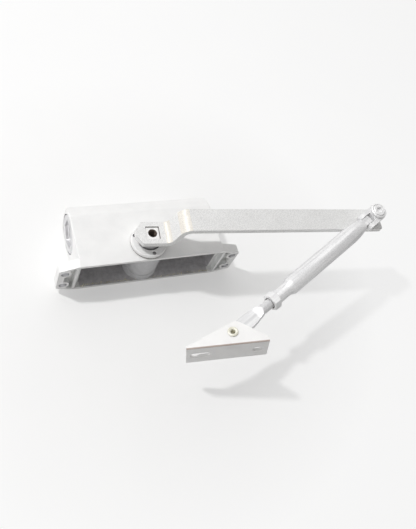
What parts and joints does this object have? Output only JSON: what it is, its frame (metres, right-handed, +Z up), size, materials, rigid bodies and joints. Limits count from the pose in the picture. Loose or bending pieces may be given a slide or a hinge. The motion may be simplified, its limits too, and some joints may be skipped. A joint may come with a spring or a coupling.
{
  "type": "surface-mounted door closer with regular arm",
  "caption": "Surface door closer: cast body with a rack-and-pinion piston and spring, flat main arm, swivelling elbow, adjustable forearm and a slotted angle bracket.",
  "frame": {"origin": "centre of the door-side land of the pinion boss: on the door plane, below the pinion's axis and at the body's mid-height", "axes": "+X along the body from the spring end to the valve end, +Y away from the door, +Z up along the pinion's axis"},
  "size_m": [0.2796, 0.1591, 0.0918],
  "materials": {
    "silver_paint": "fine silver paint over a die casting, satin",
    "cast_alloy": "turned and tumbled light alloy, satin",
    "silver_painted_steel": "fine speckled silver paint on flat steel",
    "zinc_plated_steel": "bright zinc plating",
    "yellow_zinc_steel": "yellow passivated zinc plating",
    "machined_steel": "turned and ground steel",
    "spring_steel": "dark oiled spring wire",
    "bearing_bronze": "sintered bearing bronze",
    "seal_rubber": "black nitrile rubber"
  },
  "bodies": {
    "closer_body": {"housing": "silver_paint", "end_plug_left": "cast_alloy", "end_plug_right": "cast_alloy", "plug_seal_left": "seal_rubber", "plug_seal_right": "seal_rubber", "gland_upper": "cast_alloy", "cap_lower": "cast_alloy", "bearing_upper": "bearing_bronze", "bearing_lower": "bearing_bronze", "thrust_washer_upper": "machined_steel", "thrust_washer_lower": "machined_steel", "shaft_seal": "seal_rubber", "main_spring": "spring_steel"},
    "arm": {"pinion_shaft": "machined_steel", "main_arm": "silver_painted_steel", "elbow_screw": "zinc_plated_steel", "elbow_washer": "zinc_plated_steel"},
    "piston_body": {"piston": "machined_steel", "piston_ring": "bearing_bronze", "check_ball": "machined_steel", "check_clip": "spring_steel"},
    "elbow": {"elbow_knuckle": "zinc_plated_steel", "tilt_pin": "machined_steel"},
    "forearm": {"forearm_tube": "zinc_plated_steel"},
    "nut": {"lock_nut": "zinc_plated_steel"},
    "rod": {"adjusting_rod": "zinc_plated_steel"},
    "bracket": {"frame_bracket": "silver_painted_steel", "bracket_rivet": "yellow_zinc_steel", "rivet_washer": "zinc_plated_steel"},
    "upper_valve": {"valve_screw_upper": "zinc_plated_steel", "valve_seal_upper": "seal_rubber"},
    "lower_valve": {"valve_screw_lower": "zinc_plated_steel", "valve_seal_lower": "seal_rubber"}
  },
  "joints": [
    {"name": "arm_swing", "type": "hinge", "parent": "closer_body", "child": "arm", "pos_m": [0, 0.0155, 0], "axis": [0, 0, 1], "range_deg": [0, 165], "stiffness_Nm_per_rad": 3.4, "springref_deg": -71.62},
    {"name": "piston_slide", "type": "slide", "parent": "closer_body", "child": "piston_body", "axis": [1, 0, 0], "range_m": [-0.0346, 0], "deforming": ["main_spring"]},
    {"name": "elbow_swivel", "type": "hinge", "parent": "arm", "child": "elbow", "pos_m": [0.1944, -0.00219, 0.0636], "axis": [0, 0, 1], "range_deg": [0, 150]},
    {"name": "forearm_tilt", "type": "hinge", "parent": "elbow", "child": "forearm", "pos_m": [0.18326, -0.00787, 0.0636], "axis": [-0.454, 0.891, 0], "range_deg": [0, 12]},
    {"name": "lock_nut_turn", "type": "hinge", "parent": "forearm", "child": "nut", "pos_m": [0.18326, -0.00787, 0.0636], "axis": [-0.8824, -0.4496, -0.1383], "continuous": true},
    {"name": "rod_adjust", "type": "slide", "parent": "forearm", "child": "rod", "axis": [-0.8824, -0.4496, -0.1383], "range_m": [-0.009, 0.02]},
    {"name": "bracket_pivot", "type": "hinge", "parent": "rod", "child": "bracket", "pos_m": [0.03845, -0.08165, 0.0409], "axis": [-0.2294, 0.1546, 0.961], "range_deg": [-132, 30]},
    {"name": "upper_valve_turn", "type": "hinge", "parent": "closer_body", "child": "upper_valve", "pos_m": [0.0649, 0.0243, 0.0143], "axis": [1, 0, 0], "range_deg": [-180, 180]},
    {"name": "lower_valve_turn", "type": "hinge", "parent": "closer_body", "child": "lower_valve", "pos_m": [0.0649, 0.0243, -0.0143], "axis": [1, 0, 0], "range_deg": [-180, 180]}
  ],
  "couplings": [
    {"joint": "piston_slide", "follows": "arm_swing", "m_per_rad": -0.012}
  ]
}
